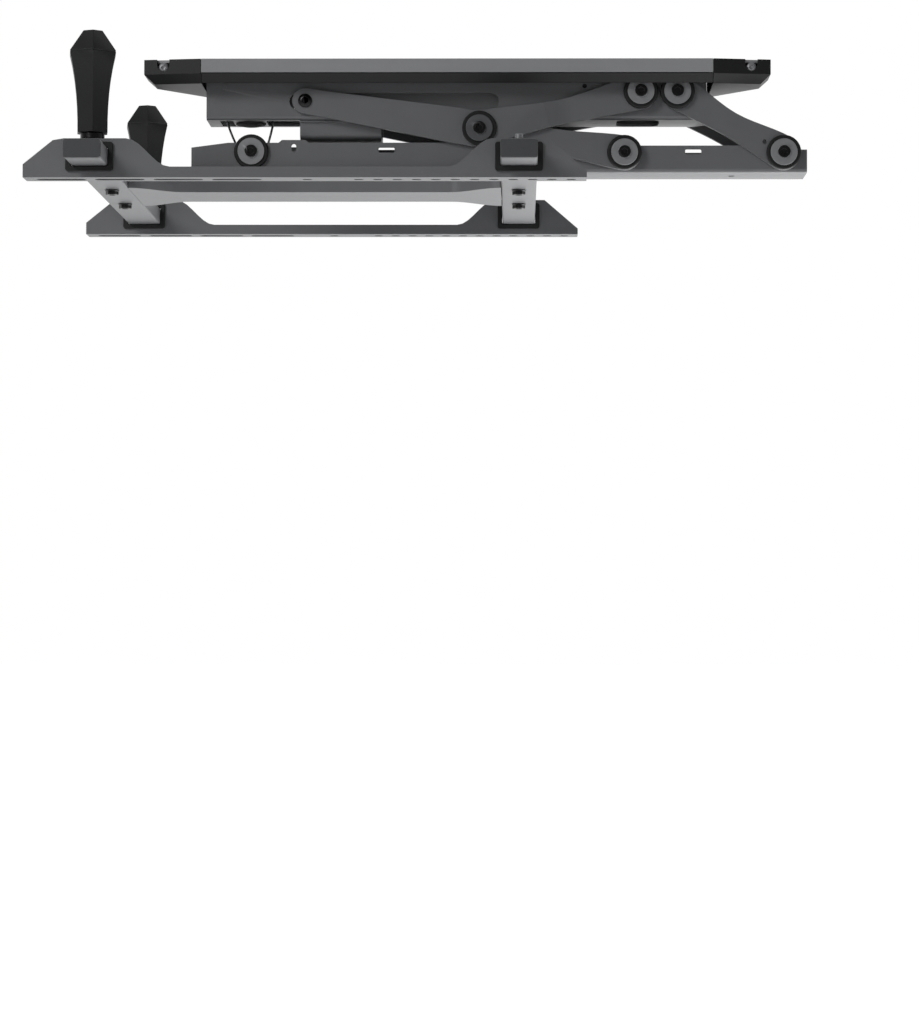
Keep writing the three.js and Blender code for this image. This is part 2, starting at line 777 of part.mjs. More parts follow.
// Washer and socket head that close one end of a shaft
function shaftEnd(from) {
  const washerTop = from + washerThickness;
  const headTop = washerTop + headHeight;
  const washer = cylinderAcross(washerRadius, from, washerTop, 0, 0);
  const head = cylinderAcross(headRadius, washerTop - gap, headTop, 0, 0, smallSegments);
  const socket = cylinderAcross(hexSocketRadius, headTop - hexSocketDepth, headTop + overrun, 0, 0, 6);
  return washer.add(head).subtract(socket);
}

function throughShaft(from) {
  const half = from + gap;
  const rod = cylinderAcross(shaftRadius, -half, half, 0, 0);
  return joinAll([rod, shaftEnd(from), onSide(shaftEnd(from), -1)]);
}

function stubShaft(from) {
  return cylinderAcross(shaftRadius, channelHalfWidth + gap, from + gap, 0, 0).add(shaftEnd(from));
}

function slidePin() {
  const headFrom = innerLayer + linkThickness + gap;
  const rod = cylinderAcross(slidePinRadius, slideFlangeInner, headFrom + gap, 0, 0, smallSegments);
  const domeHeight = headHeight + gap;
  const profile = [[0, headFrom], [slidePinHeadRadius, headFrom], [slidePinHeadRadius, headFrom + domeHeight / 3],
    [slidePinHeadRadius * 0.8, headFrom + domeHeight * 0.8], [slidePinHeadRadius / 2, headFrom + domeHeight],
    [0, headFrom + domeHeight]];
  const button = solid(new THREE.LatheGeometry(profile.map(([r, y]) => new THREE.Vector2(r, y)), smallSegments));
  const socket = cylinderAcross(hexSocketRadius, headFrom + domeHeight - hexSocketDepth,
    headFrom + domeHeight + overrun, 0, 0, 6);
  return rod.add(button).subtract(socket);
}

// Nylon block that carries the slide pin along the slot in the base channel
function slideBlock() {
  const body = across(roundedBoxShape(slideBlockLength, slideBlockHeight, overrun, 0, 0),
    slideFlangeInner, slideBlockOuter);
  const flange = across(roundedBoxShape(slideFlangeLength, slideFlangeHeight, overrun, 0, 0),
    slideFlangeInner, channelHalfWidth - sheet - gap);
  const bore = cylinderAcross(slidePinRadius + gap, slideFlangeInner - overrun, slideBlockOuter + overrun, 0, 0,
    smallSegments);
  return body.add(flange).subtract(bore);
}

// Lower frame

// Side view of the lower channel, with its bumps, sloping left end and stepped right end
function lowerChannelOutline() {
  const bump = (centre) => [
    [centre + bumpWidth / 2 + channelCorner, lowerTop], [centre + bumpWidth / 2, bumpTop],
    [centre - bumpWidth / 2, bumpTop], [centre - bumpWidth / 2 - channelCorner, lowerTop],
  ];
  return shapeOf([
    [lowerLeft, lowerBottom], [lowerRight, lowerBottom], [lowerRight, lowerRightEndTop],
    [lowerRight - lowerRightEnd, lowerRightEndTop], [lowerRight - lowerRightEnd, lowerTopRight],
    [lowerTopStep + channelCorner, lowerTopRight], [lowerTopStep, lowerTop],
    ...bump(rightBumpX), ...bump(leftBumpX),
    [lowerLeft + lowerLeftSlope, lowerTop], [lowerLeft, lowerLeftEndTop],
  ]);
}

function lowerChannel() {
  const reach = channelHalfWidth + overrun;
  const walls = channelShell(lowerLeft, lowerRight, lowerBottom, bumpTop + overrun)
    .intersect(across(lowerChannelOutline(), -reach, reach));
  const bores = [framePivot, pulleyPivot].map((pivot) => (
    cylinderAcross(shaftHole, -reach, reach, pivot.x, pivot.y)
  ));
  const openings = [[leftWindowX, leftWindowZ], [rightWindowX, rightWindowZ]].map(([x, z]) => (
    across(roundedBoxShape(windowLength, windowHeight, windowHeight / 4, x, z), -reach, reach)
  ));
  const slots = [leftBumpX, rightBumpX].map((x) => (
    across(uprightSlotShape(bumpSlotHeight, bumpSlotWidth, x, bumpSlotZ), -reach, reach, slotSteps)
  ));
  const drains = Array.from({ length: lowerHoleCount }, (_, i) => (
    cylinderUp(lowerHoleRadius, lowerBottom - overrun, lowerBottom + sheet + overrun,
      lowerHoleFirst + i * lowerHolePitch, 0, smallSegments)
  ));
  return subtractAll(walls, [...bores, ...openings, ...slots, ...drains]);
}

function pulley() {
  const tread = pulleyGrooveHalfWidth - cableRadius + gap / 2;
  const profile = [[shaftHole, -pulleyHalfWidth], [pulleyRadius, -pulleyHalfWidth],
    [pulleyRadius, -pulleyGrooveHalfWidth - cableRadius], [pulleyGrooveRadius, -tread],
    [pulleyGrooveRadius, tread], [pulleyRadius, pulleyGrooveHalfWidth + cableRadius],
    [pulleyRadius, pulleyHalfWidth], [shaftHole, pulleyHalfWidth], [shaftHole, -pulleyHalfWidth]];
  return solid(new THREE.LatheGeometry(profile.map(([r, y]) => new THREE.Vector2(r, y)), roundSegments));
}

// Plan of the spine: narrow in the middle, flaring to each crossbar
function spinePlan(fromX, toX, inset, flareLeft, flareRight) {
  const steps = 8;
  const flare = Array.from({ length: steps + 1 }, (_, i) => {
    const ease = (1 + Math.cos(i / steps * Math.PI)) / 2;
    const half = spineHalfWidth + (spineEndHalfWidth - spineHalfWidth) * ease;
    return [i / steps * spineFlare, half - inset];
  });
  const farSide = [
    [fromX, spineEndHalfWidth - inset],
    ...flare.map(([run, half]) => [flareLeft + run, half]),
    ...flare.map(([run, half]) => [flareRight - run, half]).reverse(),
    [toX, spineEndHalfWidth - inset],
  ];
  const nearSide = farSide.map(([x, y]) => [x, -y]).reverse();
  return shapeOf([...farSide, ...nearSide]);
}

// An open-ended box between the crossbars, its top plate running over both
function spine() {
  const [leftBar, rightBar] = crossbarCentres;
  const innerLeft = leftBar + crossbarWidth / 2 + gap;
  const innerRight = rightBar - crossbarWidth / 2 - gap;
  const outerLeft = leftBar - crossbarWidth / 2;
  const outerRight = rightBar + crossbarWidth / 2;
  const bottom = crossbarTop - crossbarHeight;
  const ceiling = crossbarTop + gap;
  const plan = (fromX, toX, inset) => spinePlan(fromX, toX, inset, innerLeft + overrun, innerRight - overrun);
  const box = upward(plan(innerLeft, innerRight, 0), bottom, ceiling);
  const tunnel = upward(plan(innerLeft - overrun, innerRight + overrun, sheet), bottom + sheet, ceiling);
  const plate = upward(plan(outerLeft, outerRight, 0), ceiling, ceiling + spinePlate);
  const bolts = crossbarCentres.flatMap((x) => [-boltHoleY, boltHoleY].map((y) => (
    cylinderUp(boltHoleRadius, ceiling - overrun, ceiling + spinePlate + overrun, x, y, smallSegments)
  )));
  return subtractAll(box.subtract(tunnel).add(plate), bolts);
}

function crossbar(centreX) {
  const centreZ = crossbarTop - crossbarHeight / 2;
  const outer = roundedBoxShape(crossbarWidth, crossbarHeight, crossbarWall, centreX, centreZ);
  const inner = roundedBoxShape(crossbarWidth - 2 * crossbarWall, crossbarHeight - 2 * crossbarWall,
    crossbarWall / 2, centreX, centreZ);
  const tube = across(outer, -crossbarHalfLength, crossbarHalfLength)
    .subtract(across(inner, -crossbarHalfLength - overrun, crossbarHalfLength + overrun));
  const bolts = [-boltHoleY, boltHoleY].map((y) => (
    cylinderUp(boltHoleRadius, crossbarTop - crossbarHeight - overrun, crossbarTop + overrun, centreX, y,
      smallSegments)
  ));
  return subtractAll(tube, bolts);
}

function crossbarCap(centreX) {
  const centreZ = crossbarTop - crossbarHeight / 2;
  const plugTrim = 2 * (crossbarWall + gap);
  const face = roundedBoxShape(crossbarWidth, crossbarHeight, crossbarWall, centreX, centreZ);
  const plug = roundedBoxShape(crossbarWidth - plugTrim, crossbarHeight - plugTrim, crossbarWall / 2,
    centreX, centreZ);
  const faceFrom = crossbarHalfLength + gap;
  return across(face, faceFrom, crossbarHalfLength + endCapThickness)
    .add(across(plug, crossbarHalfLength - endCapPlug, faceFrom + gap));
}

// Rails

// The eased slope from a hump down to the waist, or back up
function railSlope(fromX, toX, fromZ, toZ) {
  const steps = 7;
  return Array.from({ length: steps + 1 }, (_, i) => {
    const share = i / steps;
    const ease = (1 - Math.cos(share * Math.PI)) / 2;
    return [fromX + (toX - fromX) * share, fromZ + (toZ - fromZ) * ease];
  });
}

function railOutline() {
  const leftTopFrom = railLeft + railLeftShoulder;
  const rightTopTo = railRight - railRightShoulder;
  const roundOff = railHumpCornerRise;
  return shapeOf([
    [railLeft, railBottom], [railLeft, railLeftEndTop],
    [leftTopFrom - roundOff, railHumpTop - roundOff / 3], [leftTopFrom + roundOff, railHumpTop],
    ...railSlope(railLeftHumpEdge, railLeftHumpEdge + railHumpFoot, railHumpTop, railWaistTop),
    ...railSlope(railRightHumpEdge - railHumpFoot, railRightHumpEdge, railWaistTop, railHumpTop),
    [rightTopTo, railHumpTop], [railRight, railRightEndTop], [railRight, railBottom],
  ]);
}

function linerSize(trim) {
  return { width: crossbarWidth + 2 * trim, height: crossbarHeight + 2 * trim };
}

function rail(webY) {
  const centreZ = crossbarTop - crossbarHeight / 2;
  const web = across(railOutline(), webY, webY + railThickness);
  const flange = block(railLeft, railRight, webY, webY + railFlange, railBottom, railBottom + railThickness);
  const tabAt = (x) => block(x - clampTabHalfLength, x + clampTabHalfLength, webY, webY + clampTabDepth,
    railHumpTop - railThickness, railHumpTop);
  const tabs = [tabAt(leftCrossbarX), tabAt(rightCrossbarX)];
  const hole = linerSize(gap + linerNeck + gap);
  const barHoles = crossbarCentres.map((x) => (
    across(roundedBoxShape(hole.width, hole.height, linerNeck, x, centreZ), webY - overrun, webY + railThickness + overrun)
  ));
  const flangeMiddle = webY + railFlange / 2 + railThickness;
  const floorFrom = railBottom - overrun;
  const floorTo = railBottom + railThickness + overrun;
  const slotAt = (x, length, width) => (
    upward(slotShape(length, width, x, flangeMiddle), floorFrom, floorTo, slotSteps)
  );
  const longSlots = Array.from({ length: longSlotCount }, (_, i) => (
    slotAt(longSlotFirst + i * longSlotPitch, longSlotLength, longSlotWidth)
  ));
  const shortSlots = Array.from({ length: shortSlotCount }, (_, i) => (
    slotAt(shortSlotFirst + i * shortSlotPitch, shortSlotLength, shortSlotWidth)
  ));
  const loneSlot = slotAt(loneSlotX, shortSlotLength, shortSlotWidth);
  const studHole = cylinderUp(studRadius + gap, railHumpTop - railThickness - overrun, railHumpTop + overrun,
    handleX, webY + handleBack);
  return subtractAll(joinAll([web, flange, ...tabs]), [...barHoles, ...longSlots, ...shortSlots, loneSlot,
    studHole]);
}

// Plastic liner that lets the rail slide along its crossbar
function railLiner(webY, centreX) {
  const centreZ = crossbarTop - crossbarHeight / 2;
  const collarTo = webY - gap;
  const neck = linerSize(gap + linerNeck);
  const bore = linerSize(gap);
  const collar = across(roundedBoxShape(linerLength, linerHeight, linerNeck, centreX, centreZ),
    collarTo - linerCollar, collarTo);
  const sleeve = across(roundedBoxShape(neck.width, neck.height, linerNeck, centreX, centreZ),
    collarTo - linerCollar, webY + linerDepth);
  const passage = across(roundedBoxShape(bore.width, bore.height, crossbarWall, centreX, centreZ),
    webY - linerDepth, webY + linerDepth + overrun);
  return collar.add(sleeve).subtract(passage);
}

// Clamp handles

function handleStud() {
  const rod = cylinderUp(studRadius, crossbarTop + gap, studTop, 0, 0);
  return rod.add(cylinderUp(collarRadius, collarBottom + gap, collarTop, 0, 0));
}

// Six-sided grip that widens upwards to a parting line under its pyramid cap
function handleGrip() {
  const groove = gap * 2;
  const waistSteps = 6;
  const waist = Array.from({ length: waistSteps + 1 }, (_, i) => {
    const share = i / waistSteps;
    const swell = share * share * (2 + share) / 3;
    return [gripFootRadius + (gripRadius - gripFootRadius) * swell,
      gripBottom + (gripShoulder - groove - gripBottom) * share];
  });
  const profile = [[0, gripBottom], ...waist,
    [gripRadius - groove, gripShoulder], [gripRadius, gripShoulder + groove],
    [gripTopRadius, gripTop], [0, gripTop]];
  const sides = 6;
  const hexagon = new THREE.LatheGeometry(profile.map(([r, y]) => new THREE.Vector2(r, y)), sides);
  hexagon.rotateX(Math.PI / 2);
  const bore = cylinderUp(studRadius + gap, gripBottom - overrun, studTop + gap, 0, 0);
  return solid(hexagon).subtract(bore);
}

// Cable

// From the anchor pin down, once under the pulley, and up to the drum
function hoistCable() {
  const leaveLeft = Math.PI + Math.atan2(pulleyPivot.x - anchorX - cableTurn, baseBottom - pulleyPivot.y);
  const leaveRight = 2 * Math.PI - gap / 2;
  const arcSteps = 10;
  const points = [
    new THREE.Vector3(anchorX, 0, anchorZ - anchorRadius - gap),
    new THREE.Vector3(anchorX, 0, baseBottom + sheet),
  ];
  for (let i = 0; i <= arcSteps; i += 1) {
    const angle = leaveLeft + (leaveRight - leaveLeft) * (i / arcSteps);
    const turn = onArm(pulleyPivot, cableTurn, angle);
    points.push(new THREE.Vector3(turn.x, 0, turn.y));
  }
  const drumSide = drumX - drumCoreRadius - 2 * cableRadius - gap;
  points.push(new THREE.Vector3(drumSide, 0, baseBottom + sheet));
  points.push(new THREE.Vector3(drumSide, 0, drumZ));
  const path = new THREE.CatmullRomCurve3(points, false, 'centripetal');
  const section = new THREE.Shape();
  const sides = 10;
  section.absarc(0, 0, cableRadius, 0, 2 * Math.PI);
  return solid(new THREE.ExtrudeGeometry(section, { steps: 52, curveSegments: sides / 2, extrudePath: path }));
}

// Assembly

function addTurned(name, body, material, pivot, angle = 0) {
  const mesh = new THREE.Mesh(geometryOf(body), material);
  mesh.name = name;
  mesh.position.set(pivot.x, 0, pivot.y);
  mesh.rotation.y = -angle;
  mount.add(mesh);
  return mesh;
}

function addCeilingUnit() {
  addPart('ceiling_plate', ceilingPlate(), greyPowderCoat());
  addPart('cover_skirt_near', skirt(-1), blackPlastic());
  addPart('cover_skirt_far', skirt(1), blackPlastic());
  addPart('cover_end_cap_left', endCap(-1), blackPlastic());
  addPart('cover_end_cap_right', endCap(1), blackPlastic());
  addPart('base_channel', baseChannel(), darkPowderCoat());
  addPart('motor_cover', motorCover(), darkPowderCoat());
  addPart('winch_gearmotor', gearmotor(), brightSteel());
  addPart('winch_drum', winchDrum(), brightSteel(), drumX, 0, drumZ);
  addPart('rubber_bumper', rubberBumper(), blackRubber(), bumperX, 0, baseBottom);
  addPart('control_board', controlBoard(), greenBoard());
  addPart('hoist_cable', hoistCable(), brightSteel());
}

function addLinkage() {
  const linkOuter = innerLayer + linkThickness + gap;
  const middleOuter = outerLayer + linkThickness + gap;
  const washerAt = linkOuter + ringThickness + gap;
  const middleWasherAt = middleOuter + thinRingThickness + gap;
  const pulleyRingAt = channelHalfWidth + gap;
  const pulleyWasherAt = pulleyRingAt + ringThickness + gap;
  addTurned('shaft_steep_link', throughShaft(washerAt), brightSteel(), fixedPivot);
  addTurned('shaft_tail_link', throughShaft(washerAt), brightSteel(), tailPivot);
  addTurned('shaft_middle', throughShaft(middleWasherAt), brightSteel(), middlePivot);
  addTurned('shaft_frame', throughShaft(washerAt), brightSteel(), framePivot);
  addTurned('pulley_axle', throughShaft(pulleyWasherAt), brightSteel(), pulleyPivot);
  for (const [place, side] of [['near', -1], ['far', 1]]) {
    const add = (name, body, material, pivot, angle) => (
      addTurned(`${name}_${place}`, onSide(body, side), material, pivot, angle)
    );
    add('long_link', longLink(), darkPowderCoat(), slidePivot, longLinkAngle);
    add('steep_link', steepLink(), darkPowderCoat(), fixedPivot, steepLinkAngle);
    add('tail_link', tailLink(), darkPowderCoat(), tailPivot, tailLinkAngle);
    add('slide_pin', slidePin(), blackSteel(), slidePivot, 0);
    add('slide_block', slideBlock(), whiteNylon(), slidePivot, 0);
    add('stub_tail_link', stubShaft(washerAt), brightSteel(), tailEndPivot, 0);
    add('ring_steep_link', pivotRing(linkOuter, ringThickness), blackPlastic(), fixedPivot, 0);
    add('ring_tail_link_top', pivotRing(linkOuter, ringThickness), blackPlastic(), tailPivot, 0);
    add('ring_middle', pivotRing(middleOuter, thinRingThickness), blackPlastic(), middlePivot, 0);
    add('ring_frame', pivotRing(linkOuter, ringThickness), blackPlastic(), framePivot, 0);
    add('ring_tail_link_end', pivotRing(linkOuter, ringThickness), blackPlastic(), tailEndPivot, 0);
    add('ring_pulley', pivotRing(pulleyRingAt, ringThickness), blackPlastic(), pulleyPivot, 0);
  }
}

function addLowerFrame() {
  addPart('lower_channel', lowerChannel(), darkPowderCoat());
  addTurned('cable_pulley', pulley(), whiteNylon(), pulleyPivot);
  addPart('spine', spine(), darkPowderCoat());
  for (const [end, centreX] of [['left', crossbarCentres[0]], ['right', crossbarCentres[1]]]) {
    addPart(`crossbar_${end}`, crossbar(centreX), darkPowderCoat(), centreX, 0, crossbarTop);
    addPart(`crossbar_cap_${end}_near`, onSide(crossbarCap(centreX), -1), blackPlastic(), centreX, 0, crossbarTop);
    addPart(`crossbar_cap_${end}_far`, crossbarCap(centreX), blackPlastic(), centreX, 0, crossbarTop);
  }
}

function addRails() {
  for (const [place, webY] of [['near', -railHalfSpacing], ['far', railHalfSpacing]]) {
    addPart(`rail_${place}`, rail(webY), darkPowderCoat(), 0, webY, 0);
    addPart(`rail_liner_left_${place}`, railLiner(webY, crossbarCentres[0]), blackPlastic(), 0, webY, 0);
    addPart(`rail_liner_right_${place}`, railLiner(webY, crossbarCentres[1]), blackPlastic(), 0, webY, 0);
    const stud = new THREE.Mesh(geometryOf(handleStud()), brightSteel());
    stud.name = `clamp_stud_${place}`;
    stud.position.set(handleX, webY + handleBack, 0);
    const grip = new THREE.Mesh(geometryOf(handleGrip()), blackPlastic());
    grip.name = `clamp_handle_${place}`;
    grip.position.copy(stud.position);
    grip.rotation.z = gripTurn;
    mount.add(stud, grip);
  }
}

addCeilingUnit();
addLinkage();
addLowerFrame();
addRails();

export default mount;
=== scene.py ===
import json
import math

import bmesh
import bpy
from mathutils import Matrix, Vector


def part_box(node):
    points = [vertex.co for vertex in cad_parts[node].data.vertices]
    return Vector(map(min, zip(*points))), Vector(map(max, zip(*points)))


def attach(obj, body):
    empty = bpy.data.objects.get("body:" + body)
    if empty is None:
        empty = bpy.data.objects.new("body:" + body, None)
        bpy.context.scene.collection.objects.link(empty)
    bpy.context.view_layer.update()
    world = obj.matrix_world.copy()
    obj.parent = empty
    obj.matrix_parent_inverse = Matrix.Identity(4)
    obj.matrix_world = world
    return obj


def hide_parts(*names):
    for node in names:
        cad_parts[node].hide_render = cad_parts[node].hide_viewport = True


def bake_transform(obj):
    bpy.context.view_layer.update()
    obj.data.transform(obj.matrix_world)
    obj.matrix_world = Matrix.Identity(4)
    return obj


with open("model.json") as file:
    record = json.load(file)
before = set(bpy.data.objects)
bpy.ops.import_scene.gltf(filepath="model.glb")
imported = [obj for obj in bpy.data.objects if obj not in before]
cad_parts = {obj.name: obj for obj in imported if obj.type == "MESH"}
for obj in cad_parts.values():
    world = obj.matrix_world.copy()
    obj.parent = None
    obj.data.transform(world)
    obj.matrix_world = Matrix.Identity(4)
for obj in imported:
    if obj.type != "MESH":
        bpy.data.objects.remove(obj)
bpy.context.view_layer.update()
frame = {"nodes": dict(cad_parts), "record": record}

MM = 0.001

# The camera stands in front of the right crossbar and under it, and looks very slightly up
CAMERA_PLACE = (0.0516, -2.884, -0.4804)
CAMERA_PITCH = math.radians(91.825)
CAMERA_YAW = math.radians(0.977)
CAMERA_ROLL = math.radians(-0.12)
LENS_MM = 116.4
SENSOR_MM = 36

# How far the floor lies under the ceiling face, clear of the opened frame
FLOOR_DROP = 0.95


# Colour and nodes

def from_hex(text):
    """An sRGB hex colour as the linear values that a shader takes."""
    parts = [int(text[i:i + 2], 16) / 255 for i in (1, 3, 5)]
    return [c / 12.92 if c <= 0.04045 else ((c + 0.055) / 1.055) ** 2.4 for c in parts] + [1.0]


def add(tree, kind, sockets=None, **settings):
    """Adds one node. A socket is given a plain value, or the output that feeds it."""
    made = tree.nodes.new(kind)
    for key, value in settings.items():
        setattr(made, key, value)
    for socket, value in (sockets or {}).items():
        if isinstance(value, bpy.types.NodeSocket):
            tree.links.new(value, made.inputs[socket])
        else:
            made.inputs[socket].default_value = value
    return made


def new_material(name):
    material = bpy.data.materials.new(name)
    material.use_nodes = True
    tree = material.node_tree
    tree.nodes.clear()
    return material, tree


def per_metre(size_mm):
    """The texture scale that makes one feature this many millimetres wide."""
    return 1 / (size_mm * MM)


def finish_surface(tree, sockets):
    surface = add(tree, "ShaderNodeBsdfPrincipled", sockets)
    add(tree, "ShaderNodeOutputMaterial", {"Surface": surface.outputs["BSDF"]})


def mottled(tree, place, light, dark, patch_mm):
    """Two close tones in soft patches, as any real batch of coating or resin has."""
    patches = add(tree, "ShaderNodeTexNoise", {"Vector": place, "Scale": per_metre(patch_mm), "Detail": 3.0})
    mixed = add(tree, "ShaderNodeMix", {"Factor": patches.outputs["Fac"], "A": from_hex(dark),
                                        "B": from_hex(light)}, data_type="RGBA")
    return mixed.outputs["Result"]


def grain(tree, place, grain_mm, height_mm, strength):
    """A fine raised texture of one grain size."""
    bumps = add(tree, "ShaderNodeTexNoise", {"Vector": place, "Scale": per_metre(grain_mm), "Detail": 2.0})
    return add(tree, "ShaderNodeBump", {"Height": bumps.outputs["Fac"], "Strength": strength,
                                        "Distance": height_mm * MM}).outputs["Normal"]


def powder_coated_steel(name, light, dark, roughness):
    """Polyester powder baked on sheet steel: a satin skin with a fine sandy tooth.
    The tooth is drawn at 0.9 mm, a little coarser than life, so that it shows."""
    material, tree = new_material(name)
    place = add(tree, "ShaderNodeTexCoord").outputs["Object"]
    finish_surface(tree, {
        "Base Color": mottled(tree, place, light, dark, 35),
        "Roughness": roughness,
        "IOR": 1.5,
        "Normal": grain(tree, place, 0.9, 0.05, 0.35),
    })
    return material


def moulded_abs(name, light, dark):
    """Injection-moulded ABS, spark-eroded mould: matt, with soft broad highlights."""
    material, tree = new_material(name)
    place = add(tree, "ShaderNodeTexCoord").outputs["Object"]
    finish_surface(tree, {
        "Base Color": mottled(tree, place, light, dark, 20),
        "Roughness": 0.45,
        "IOR": 1.36,
        "Normal": grain(tree, place, 0.7, 0.04, 0.3),
    })
    return material


def zinc_plated_steel():
    """Turned steel with bright zinc: a light satin metal with a faint grain."""
    material, tree = new_material("zinc_plated_turned_steel")
    place = add(tree, "ShaderNodeTexCoord").outputs["Object"]
    finish_surface(tree, {
        "Base Color": mottled(tree, place, "#c3c6c8", "#aeb1b4", 6),
        "Metallic": 1.0,
        "Roughness": 0.32,
        "Normal": grain(tree, place, 0.4, 0.01, 0.25),
    })
    return material


def satin_grey_washer(name, light, dark):
    """Phosphated spring steel: an even grey, dull like slate."""
    material, tree = new_material(name)
    place = add(tree, "ShaderNodeTexCoord").outputs["Object"]
    finish_surface(tree, {
        "Base Color": mottled(tree, place, light, dark, 8),
        "Metallic": 0.55,
        "Roughness": 0.4,
        "Normal": grain(tree, place, 0.5, 0.01, 0.25),
    })
    return material


def black_oxide_steel():
    """Screws blackened in hot salts: deep grey black with a sharp small highlight."""
    material, tree = new_material("black_oxide_screw_steel")
    place = add(tree, "ShaderNodeTexCoord").outputs["Object"]
    finish_surface(tree, {
        "Base Color": mottled(tree, place, "#303031", "#29292a", 5),
        "Metallic": 1.0,
        "Roughness": 0.3,
        "Normal": grain(tree, place, 0.5, 0.01, 0.2),
    })
    return material


def moulded_rubber():
    """Moulded nitrile rubber: dead black with a dusty sheen."""
    material, tree = new_material("moulded_nitrile_rubber")
    place = add(tree, "ShaderNodeTexCoord").outputs["Object"]
    finish_surface(tree, {
        "Base Color": mottled(tree, place, "#1a1a1a", "#131313", 10),
        "Roughness": 0.8,
        "IOR": 1.52,
        "Normal": grain(tree, place, 0.6, 0.05, 0.4),
    })
    return material


def natural_nylon():
    """Moulded natural nylon: milky, with a waxy gloss."""
    material, tree = new_material("natural_nylon")
    place = add(tree, "ShaderNodeTexCoord").outputs["Object"]
    finish_surface(tree, {
        "Base Color": mottled(tree, place, "#e4e2da", "#d6d4cb", 15),
        "Roughness": 0.38,
        "IOR": 1.53,
        "Normal": grain(tree, place, 1.0, 0.03, 0.15),
    })
    return material


def solder_mask():
    """Green solder mask over copper: glossy lacquer with the traces just raised."""
    material, tree = new_material("green_solder_mask")
    place = add(tree, "ShaderNodeTexCoord").outputs["Object"]
    traces = add(tree, "ShaderNodeTexWave", {"Vector": place, "Scale": per_metre(18), "Distortion": 4.0})
    raised = add(tree, "ShaderNodeBump", {"Height": traces.outputs["Fac"], "Strength": 0.2,
                                          "Distance": 0.05 * MM})
    finish_surface(tree, {
        "Base Color": mottled(tree, place, "#236b45", "#174d31", 6),
        "Roughness": 0.3,
        "IOR": 1.5,
        "Normal": raised.outputs["Normal"],
    })
    return material


def stranded_wire():
    """Galvanised wire rope, one grey metal. The slanting light and dark bands are painted light and shade:
    painted highlight on the crowns of the strands that wind round, painted shade in the grooves between them.
    """
    material, tree = new_material("galvanised_wire_rope")
    place = add(tree, "ShaderNodeTexCoord").outputs["Object"]
    # Wave bands of painted light and shade stand in for the strands' relief, not for a colour of the wire
    painted_strand_shading = add(tree, "ShaderNodeTexWave", {"Vector": place, "Scale": per_metre(9), "Distortion": 0.0},
              bands_direction="DIAGONAL")
    # Dark bands are painted shade between strands, light bands a painted highlight on their crowns
    strand_light_and_shade = add(tree, "ShaderNodeMix", {"Factor": painted_strand_shading.outputs["Fac"], "A": from_hex("#38393a"),
                                       "B": from_hex("#6a6b6d")}, data_type="RGBA")
    finish_surface(tree, {"Base Color": strand_light_and_shade.outputs["Result"], "Metallic": 0.8, "Roughness": 0.4})
    return material


STEEL_SHEET = powder_coated_steel("powder_coated_steel_graphite", "#656668", "#5c5d5f", 0.42)
STEEL_COVER = powder_coated_steel("powder_coated_steel_cover", "#8f9092", "#868789", 0.45)
ABS_BLACK = moulded_abs("moulded_abs_black", "#0e0f10", "#0a0b0c")
ABS_SLATE = moulded_abs("moulded_abs_slate", "#47484a", "#404143")
ZINC = zinc_plated_steel()
WASHER_GREY = satin_grey_washer("phosphated_washer_steel", "#8f9092", "#7e7f81")
WASHER_DARK = satin_grey_washer("phosphated_washer_steel_dark", "#5c5d5f", "#505153")
OXIDE = black_oxide_steel()
RUBBER = moulded_rubber()
NYLON = natural_nylon()
BOARD_GREEN = solder_mask()
WIRE = stranded_wire()


# Pieces made from the CAD solids, with the small radii that pressing and moulding leave

BODY_OF = {node: body for body, nodes in frame["record"]["behaviour"]["bodies"].items() for node in nodes}
SMOOTH_ANGLE = math.radians(32)


def slab(outline_mm, bottom_mm, top_mm):
    """A closed mesh that stands on an outline, as a tool for cutting or as a piece."""
    count = len(outline_mm)
    points = [(x * MM, y * MM, z * MM) for z in (bottom_mm, top_mm) for x, y in outline_mm]
    walls = [(i, (i + 1) % count, count + (i + 1) % count, count + i) for i in range(count)]
    ends = [tuple(reversed(range(count))), tuple(range(count, 2 * count))]
    mesh = bpy.data.meshes.new("slab")
    mesh.from_pydata(points, [], walls + ends)
    return mesh


def cut_away(mesh, tool_mesh):
    """The mesh without what the tool covers."""
    body = bpy.data.objects.new("cut_body", mesh)
    tool = bpy.data.objects.new("cut_tool", tool_mesh)
    for thing in (body, tool):
        bpy.context.scene.collection.objects.link(thing)
    cut = body.modifiers.new("cut", "BOOLEAN")
    cut.operation = "DIFFERENCE"
    cut.solver = "EXACT"
    cut.object = tool
    bpy.context.view_layer.update()
    graph = bpy.context.evaluated_depsgraph_get()
    result = bpy.data.meshes.new_from_object(body.evaluated_get(graph))
    for thing in (body, tool):
        bpy.data.objects.remove(thing)
    return result


def rounded_outline(left, right, near, far, radius, steps):
    """A rectangle with round corners, in the order far right, far left, near left, near right."""
    outline = []
    for corner, (side_x, side_y) in enumerate([(1, 1), (-1, 1), (-1, -1), (1, -1)]):
        centre_x = right - radius if side_x > 0 else left + radius
        centre_y = far - radius if side_y > 0 else near + radius
        for i in range(steps + 1):
            angle = math.radians(90 * (corner + i / steps))
            outline.append((centre_x + radius * math.cos(angle), centre_y + radius * math.sin(angle)))
    return outline


def base_window():
    """The wide window in the base channel's floor, under its right pivots."""
    left, right, near, far = 138.5, 175.5, -19, 18
    corner_radius, corner_steps = 8, 6
    under_floor, over_floor = -52, -42
    return slab(rounded_outline(left, right, near, far, corner_radius, corner_steps), under_floor, over_floor)


